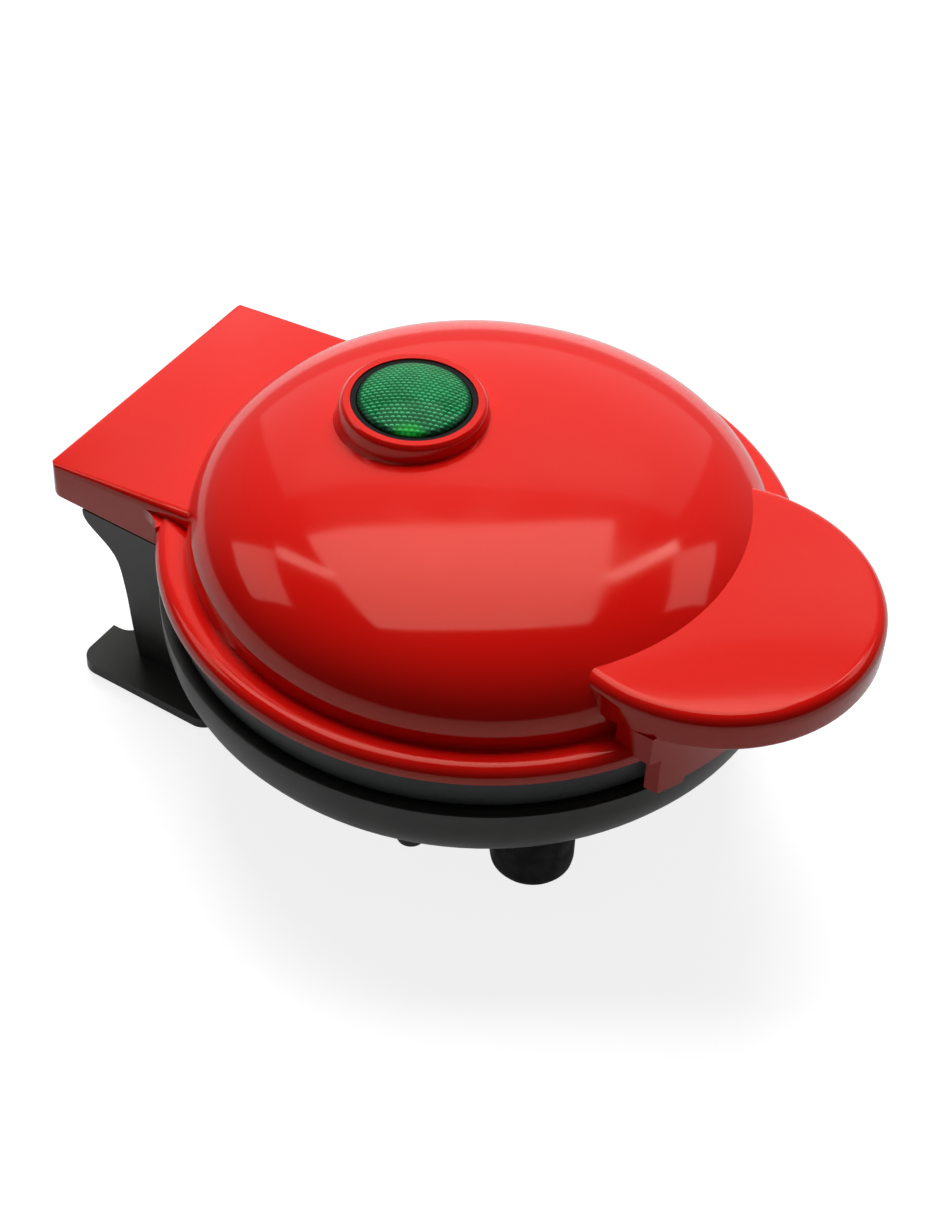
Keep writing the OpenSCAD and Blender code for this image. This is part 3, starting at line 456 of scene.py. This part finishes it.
def makeResin(name):
    facts, skin = resinFacts[name], resinSkin
    material, tree, shader, space = freshMaterial(name)
    cloud = noise(tree, space, facts["scale"], 4)
    feed(tree, shader.inputs["Base Color"], mixColour(tree, cloud, facts["dark"], facts["light"]))
    middling = noise(tree, space, facts["scale"] * skin["middling"], 3)
    roughest = facts["rough"] + skin["roughSpread"]
    rough = smooth(tree, middling, *skin["roughEdge"], facts["rough"], roughest)
    feed(tree, shader.inputs["Roughness"], rough)
    fine = noise(tree, space, facts["scale"] * skin["fine"], 3)
    feed(tree, shader.inputs["Normal"], bump(tree, fine, skin["relief"]))
    return material


lampFacts = {
    "sockets": {
        "Base Color": (1.0, 0.86, 0.70, 1),
        "Transmission Weight": 0.9,
        "IOR": 1.45,
    },
    "film": {"scale": 200, "detail": 3},
    "filmEdge": (0.3, 0.7),
    "rough": (0.03, 0.10),
}


def makeLampGlass(facts):
    material, tree, shader, space = freshMaterial("lampGlass")
    setSockets(shader, facts["sockets"])
    film = noise(tree, space, **facts["film"])
    feed(tree, shader.inputs["Roughness"], smooth(tree, film, *facts["filmEdge"], *facts["rough"]))
    return material


red = makeRed(redFacts)
satinBlack = makeBlack("satinBlackPlastic")
ringBlack = makeBlack("ringBlackPlastic")
grainedBlack = makeBlack("grainedBlackPlastic")
rubber = makeRubber(rubberFacts)
nonStick = makeNonStick(plateFacts)
darkSteel = makeMetal("blackenedSteel")
zinc = makeMetal("zincPlatedSteel")
heaterSteel = makeMetal("heaterSheath")
sheet = makeMetal("brightSheet")
sleeve = makeSleeve(sleeveFacts)
phenolic = makeResin("phenolic")
urea = makeResin("paleUrea")
lampGlass = makeLampGlass(lampFacts)

materialOf = {
    # lid
    "lid_shell": red, "lens_bezel": ringBlack, "lamp_holder": satinBlack,
    "indicator_lamp": lampGlass, "lamp_screws": zinc, "lid_liner": grainedBlack,
    "liner_screws": zinc, "upper_plate": nonStick, "upper_heater": heaterSteel,
    "upper_reflector": sheet, "upper_plate_screws": zinc, "upper_thermostat": phenolic,
    "thermal_fuse": sheet, "lid_wiring": sleeve,
    # base
    "base_shell": satinBlack, "hinge_pin_left": zinc, "hinge_pin_right": zinc,
    "base_ring": grainedBlack, "base_screws": darkSteel, "lower_plate": nonStick,
    "lower_heater": heaterSteel, "lower_reflector": sheet, "lower_plate_screws": zinc,
    "lower_thermostat": phenolic, "front_foot_left": rubber, "front_foot_right": rubber,
    "rear_pads": rubber, "cord_grommet": rubber, "terminal_block": urea,
    "base_wiring": sleeve,
}
for name, material in materialOf.items():
    mesh = nodes[name].data
    mesh.materials.clear()
    mesh.materials.append(material)
print("materials made")


# The green lens: a crowned cap, with rows of small prisms seen through it
lensFacts = {
    "edge": 0.0110,      # radius of the cap
    "crown": 0.0026,     # rise of its middle above its edge
    "seat": 0.0017,      # from the top of the CAD lens down to its edge
    "lift": 0.0006,
    "bevelDrop": 0.0003,
    "bevel": 0.00008,
    "arcSteps": 20,
    "spinSteps": 96,
    "sharpAngle": 40,
    "weld": 0.000001,
    "cell": 0.00112,     # width of a prism
    "row": 0.00088,      # height of a row of prisms
    "rowStart": 100,     # keeps the rows' numbers above zero
    "turn": 62,          # degrees that the rows are turned by
    # deep and body are the painted shade and painted light of the prisms: darker feet, lighter
    # middles
    "deep": (0.001, 0.125, 0.034, 1),
    "body": (0.002, 0.29, 0.075, 1),
    "prismEdge": (0.04, 0.54),        # from a prism's middle to its foot, in prism widths
    "bodyPatch": {"scale": 260, "detail": 2, "rough": 0.5},
    "bodyPatchEdge": (0.32, 0.68),
    # the colour of the highlight painted on each prism
    "paintedGlint": (0.085, 0.66, 0.27, 1),
    "glintInner": (0.16, 0.32),
    "glintOuter": (0.36, 0.50),
    "glintSide": (0.0, 0.30),
    "glintPatch": {"scale": 420, "detail": 2, "rough": 0.5},
    "glintPatchEdge": (0.25, 0.65, 0.35, 1.0),
    "rim": (0.003, 0.050, 0.020, 1),
    "rimEdge": (0.90, 0.955),
    # the colour of the light painted where the cap meets its near edge
    "glow": (0.012, 0.50, 0.045, 1),
    "glowPlace": 0.93,   # share of the radius from the middle to the glow
    "glowSquash": 0.6,
    "glowReach": (0.0004, 0.0026),
    "glowShare": 0.85,
    "relief": (0.45, 0.0003),
    "sockets": {
        "Roughness": 0.35,
        "Specular IOR Level": 0.1,
        "Coat Weight": 0.22,
        "Coat Roughness": 0.05,
        "Coat IOR": 1.45,
    },
}


def makeLensMaterial(middle):
    facts = lensFacts
    material, tree, shader, space = freshMaterial("greenLens")
    centred = vectorMath(tree, "SUBTRACT", space, (middle.x, middle.y, 0)).outputs[0]
    turned = add(tree, "ShaderNodeVectorRotate", rotation_type="Z_AXIS")
    feed(tree, turned.inputs["Vector"], centred)
    turned.inputs["Angle"].default_value = math.radians(facts["turn"])
    parts = add(tree, "ShaderNodeSeparateXYZ")
    feed(tree, parts.inputs[0], turned.outputs[0])
    x, y = parts.outputs["X"], parts.outputs["Y"]

    # every second row of prisms stands half a prism to the side
    rows = reckon(tree, "DIVIDE", y, facts["row"])
    rowNumber = plus(tree, reckon(tree, "FLOOR", rows), facts["rowStart"])
    shift = times(tree, reckon(tree, "MODULO", rowNumber, 2), 0.5)
    columns = plus(tree, reckon(tree, "DIVIDE", x, facts["cell"]), shift)
    u = reckon(tree, "SUBTRACT", reckon(tree, "FRACT", columns), 0.5)
    v = reckon(tree, "SUBTRACT", reckon(tree, "FRACT", rows), 0.5)
    cell = distanceOf(tree, u, v)
    # painted light and shade on each prism: its middle painted lighter, its foot darker, broken up at
    # random by the patch noise
    dome = smooth(tree, cell, *facts["prismEdge"], 1.0, 0.0)
    patch = smooth(tree, noise(tree, space, **facts["bodyPatch"]), *facts["bodyPatchEdge"])
    colour = mixColour(tree, times(tree, dome, patch), facts["deep"], facts["body"])

    # a painted highlight: a bright arc painted on one side of each prism
    inner = smooth(tree, cell, *facts["glintInner"])
    outer = smooth(tree, cell, *facts["glintOuter"], 1.0, 0.0)
    paintedArc = times(tree, times(tree, inner, outer), smooth(tree, v, *facts["glintSide"]))
    flicker = smooth(tree, noise(tree, space, **facts["glintPatch"]), *facts["glintPatchEdge"])
    colour = mixColour(tree, times(tree, paintedArc, flicker), colour, facts["paintedGlint"])

    # a dark rim, and a painted highlight: light painted into the colour where the cap meets its near
    # edge
    low, high = (facts["edge"] * share for share in facts["rimEdge"])
    rim = smooth(tree, distanceOf(tree, x, y), low, high)
    colour = mixColour(tree, rim, colour, facts["rim"])
    nearX = times(tree, x, facts["glowSquash"])
    nearY = plus(tree, y, facts["edge"] * facts["glowPlace"])
    low, high = facts["glowReach"]
    glow = smooth(tree, distanceOf(tree, nearX, nearY), low, high, facts["glowShare"], 0.0)
    feed(tree, shader.inputs["Base Color"], mixColour(tree, glow, colour, facts["glow"]))

    setSockets(shader, facts["sockets"])
    feed(tree, shader.inputs["Normal"], bump(tree, dome, facts["relief"]))
    return material


def makeLensCap():
    facts = lensFacts
    low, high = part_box("lens")
    middle = (low + high) / 2
    edgeZ = high.z - facts["seat"] + facts["lift"]
    radius, crown, bevel = facts["edge"], facts["crown"], facts["bevel"]
    ball = (radius ** 2 + crown ** 2) / (2 * crown)
    reach = math.asin(radius / ball)
    line = [
        Vector((0, 0, low.z)),
        Vector((radius, 0, low.z)),
        Vector((radius, 0, edgeZ - facts["bevelDrop"])),
        Vector((radius - bevel, 0, edgeZ - bevel)),
    ]
    for step in range(1, facts["arcSteps"] + 1):
        turn = reach * (1 - step / facts["arcSteps"])
        height = edgeZ + crown - ball + ball * math.cos(turn)
        line.append(Vector((ball * math.sin(turn), 0, height)))
    shape = bmesh.new()
    points = [shape.verts.new(point) for point in line]
    edges = [shape.edges.new(pair) for pair in zip(points, points[1:])]
    bmesh.ops.spin(
        shape, geom=points + edges, cent=(0, 0, 0), axis=(0, 0, 1),
        angle=math.tau, steps=facts["spinSteps"], use_merge=True)
    bmesh.ops.remove_doubles(shape, verts=shape.verts, dist=facts["weld"])
    bmesh.ops.recalc_face_normals(shape, faces=shape.faces)
    bmesh.ops.translate(shape, verts=shape.verts, vec=(middle.x, middle.y, 0))
    mesh = bpy.data.meshes.new("lensCap")
    shape.to_mesh(mesh)
    shape.free()
    for face in mesh.polygons:
        face.use_smooth = True
    mesh.set_sharp_from_angle(angle=math.radians(facts["sharpAngle"]))
    mesh.materials.append(makeLensMaterial(middle))
    cap = bpy.data.objects.new("lensCap", mesh)
    scene.collection.objects.link(cap)
    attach(cap, "lid")
    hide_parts("lens")


makeLensCap()
print("lens made")


# Moulded surfaces shade as one skin, and only edges sharper than an angle stay sharp
skinFacts = {"angle": 28, "plateAngle": 22, "merge": 0.000002}


def makeSkinGroup():
    group = bpy.data.node_groups.new("smoothSkin", "GeometryNodeTree")
    face = group.interface
    face.new_socket(name="Geometry", in_out="INPUT", socket_type="NodeSocketGeometry")
    face.new_socket(name="Sharp Angle", in_out="INPUT", socket_type="NodeSocketFloat")
    face.new_socket(name="Geometry", in_out="OUTPUT", socket_type="NodeSocketGeometry")
    start, end = add(group, "NodeGroupInput"), add(group, "NodeGroupOutput")
    merge = add(group, "GeometryNodeMergeByDistance")
    merge.inputs["Distance"].default_value = skinFacts["merge"]
    faces = add(group, "GeometryNodeSetShadeSmooth", domain="FACE")
    edges = add(group, "GeometryNodeSetShadeSmooth", domain="EDGE")
    edges.inputs["Shade Smooth"].default_value = False
    angle = add(group, "GeometryNodeInputMeshEdgeAngle")
    sharp = add(group, "FunctionNodeCompare", data_type="FLOAT", operation="GREATER_THAN")
    group.links.new(start.outputs["Geometry"], merge.inputs["Geometry"])
    group.links.new(merge.outputs["Geometry"], faces.inputs["Geometry"])
    group.links.new(faces.outputs["Geometry"], edges.inputs["Geometry"])
    group.links.new(angle.outputs["Unsigned Angle"], sharp.inputs[0])
    group.links.new(start.outputs["Sharp Angle"], sharp.inputs[1])
    group.links.new(sharp.outputs["Result"], edges.inputs["Selection"])
    group.links.new(edges.outputs["Geometry"], end.inputs["Geometry"])
    return group


skinGroup = makeSkinGroup()
for name, node in nodes.items():
    degrees = skinFacts["plateAngle"] if name.endswith("plate") else skinFacts["angle"]
    skin = node.modifiers.new("skin", "NODES")
    skin.node_group = skinGroup
    skin[skinGroup.interface.items_tree["Sharp Angle"].identifier] = math.radians(degrees)
print("skins made")


# The pale floor: its lift is plain white seen by the camera, fuller away from the object
floorFacts = {
    "size": 3.0,
    "seen": (0.42, 0.42, 0.425, 1),
    "bounced": (0.30, 0.28, 0.28, 1),
    "lift": 0.84,
    "farLift": 1.0,
    "liftReach": (0.12, 0.45),
    "mirrorLift": 0.28,
    "sockets": {
        "Roughness": 0.9,
        "Specular IOR Level": 0.1,
        "Emission Color": (1, 1, 1, 1),
    },
}


def makeFloor(facts):
    mesh = bpy.data.meshes.new("floor")
    shape = bmesh.new()
    bmesh.ops.create_grid(shape, x_segments=1, y_segments=1, size=facts["size"])
    shape.to_mesh(mesh)
    shape.free()
    floor = bpy.data.objects.new("floor", mesh)
    scene.collection.objects.link(floor)
    material, tree, shader, space = freshMaterial("paleFloor")
    rays = add(tree, "ShaderNodeLightPath").outputs
    mirrored = plus(tree, rays["Is Glossy Ray"], rays["Is Transmission Ray"], clamp=True)
    shown = plus(tree, rays["Is Camera Ray"], mirrored, clamp=True)
    feed(tree, shader.inputs["Base Color"], mixColour(tree, shown, facts["bounced"], facts["seen"]))
    setSockets(shader, facts["sockets"])
    away = vectorMath(tree, "LENGTH", space).outputs["Value"]
    lift = smooth(tree, away, *facts["liftReach"], facts["lift"], facts["farLift"])
    seenLift = times(tree, rays["Is Camera Ray"], lift)
    mirrorLift = times(tree, mirrored, facts["mirrorLift"])
    feed(tree, shader.inputs["Emission Strength"], plus(tree, seenLift, mirrorLift))
    mesh.materials.append(material)


makeFloor(floorFacts)


# The studio is white for the camera, and in reflections pale behind the object, dim before it
skyFacts = {
    "seen": {"Color": (1, 1, 1, 1), "Strength": 1.0},
    "fill": {"Color": (1, 1, 1, 1), "Strength": 0.07},
    "mirror": {"Color": (0.8, 0.8, 0.8, 1)},
    "mirrorFront": 0.03,
    "mirrorRear": 0.36,
    "mirrorTurn": (0.1, 0.9),
}


def makeWorld(facts):
    world = bpy.data.worlds.new("studio")
    world.use_nodes = True
    scene.world = world
    tree = world.node_tree
    tree.nodes.clear()
    fill, mirror, seen = (add(tree, "ShaderNodeBackground") for _ in range(3))
    setSockets(fill, facts["fill"])
    setSockets(mirror, facts["mirror"])
    setSockets(seen, facts["seen"])
    way = add(tree, "ShaderNodeTexCoord").outputs["Generated"]
    rearWay = tuple(-wayTo(cameraFacts["azimuth"], 0))
    rear = vectorMath(tree, "DOT_PRODUCT", way, rearWay).outputs["Value"]
    strength = smooth(tree, rear, *facts["mirrorTurn"], facts["mirrorFront"], facts["mirrorRear"])
    feed(tree, mirror.inputs["Strength"], strength)
    rays = add(tree, "ShaderNodeLightPath").outputs
    glossy = add(tree, "ShaderNodeMixShader")
    feed(tree, glossy.inputs[0], rays["Is Glossy Ray"])
    tree.links.new(fill.outputs[0], glossy.inputs[1])
    tree.links.new(mirror.outputs[0], glossy.inputs[2])
    direct = add(tree, "ShaderNodeMixShader")
    through = plus(tree, rays["Is Camera Ray"], rays["Is Transmission Ray"], clamp=True)
    feed(tree, direct.inputs[0], through)
    tree.links.new(glossy.outputs[0], direct.inputs[1])
    tree.links.new(seen.outputs[0], direct.inputs[2])
    output = add(tree, "ShaderNodeOutputWorld")
    tree.links.new(direct.outputs[0], output.inputs["Surface"])


makeWorld(skyFacts)


# side: degrees from the camera's side round to the right; glow: how bright the panel looks;
# shown: the only rays that meet it, where it isn't for all
lightFacts = {
    "rearPanel": {"side": 180, "rise": 29, "away": 1.2, "size": (1.40, 0.84), "glow": 0.34},
    "topBox": {
        "side": 190, "rise": 75, "away": 0.95, "size": (0.84, 0.62), "glow": 2.0, "shown": "glossy"},
    "leftPanel": {
        "side": -103, "rise": 34, "away": 1.1, "size": (0.42, 0.40), "glow": 1.3, "shown": "glossy"},
    "rightPanel": {
        "side": 113, "rise": 40, "away": 1.1, "size": (0.42, 0.30), "glow": 1.3, "shown": "glossy"},
    "rightStrip": {
        "side": 131, "rise": 53, "away": 1.1, "size": (0.07, 0.34), "glow": 4.0, "shown": "glossy"},
    "leftStrip": {
        "side": -118, "rise": 52, "away": 1.1, "size": (0.07, 0.30), "glow": 3.0, "shown": "glossy"},
    "softKey": {
        "side": 182, "rise": 55, "away": 1.3, "size": (1.1, 0.9), "glow": 7.2, "shown": "diffuse"},
}
lightAim = (0, 0, 0.05)


def makeLight(name, side, rise, away, size, glow, shown=""):
    data = bpy.data.lights.new(name, "AREA")
    data.shape, data.size, data.size_y = "RECTANGLE", size[0], size[1]
    data.energy = glow * math.pi * size[0] * size[1]
    light = bpy.data.objects.new(name, data)
    way = wayTo(cameraFacts["azimuth"] + side, rise)
    light.location = Vector(lightAim) + way * away
    light.rotation_mode = "QUATERNION"
    light.rotation_quaternion = way.to_track_quat("Z", "Y")
    light.visible_glossy = shown != "diffuse"
    light.visible_diffuse = shown != "glossy"
    scene.collection.objects.link(light)


for name, facts in lightFacts.items():
    makeLight(name, **facts)
print("studio made")
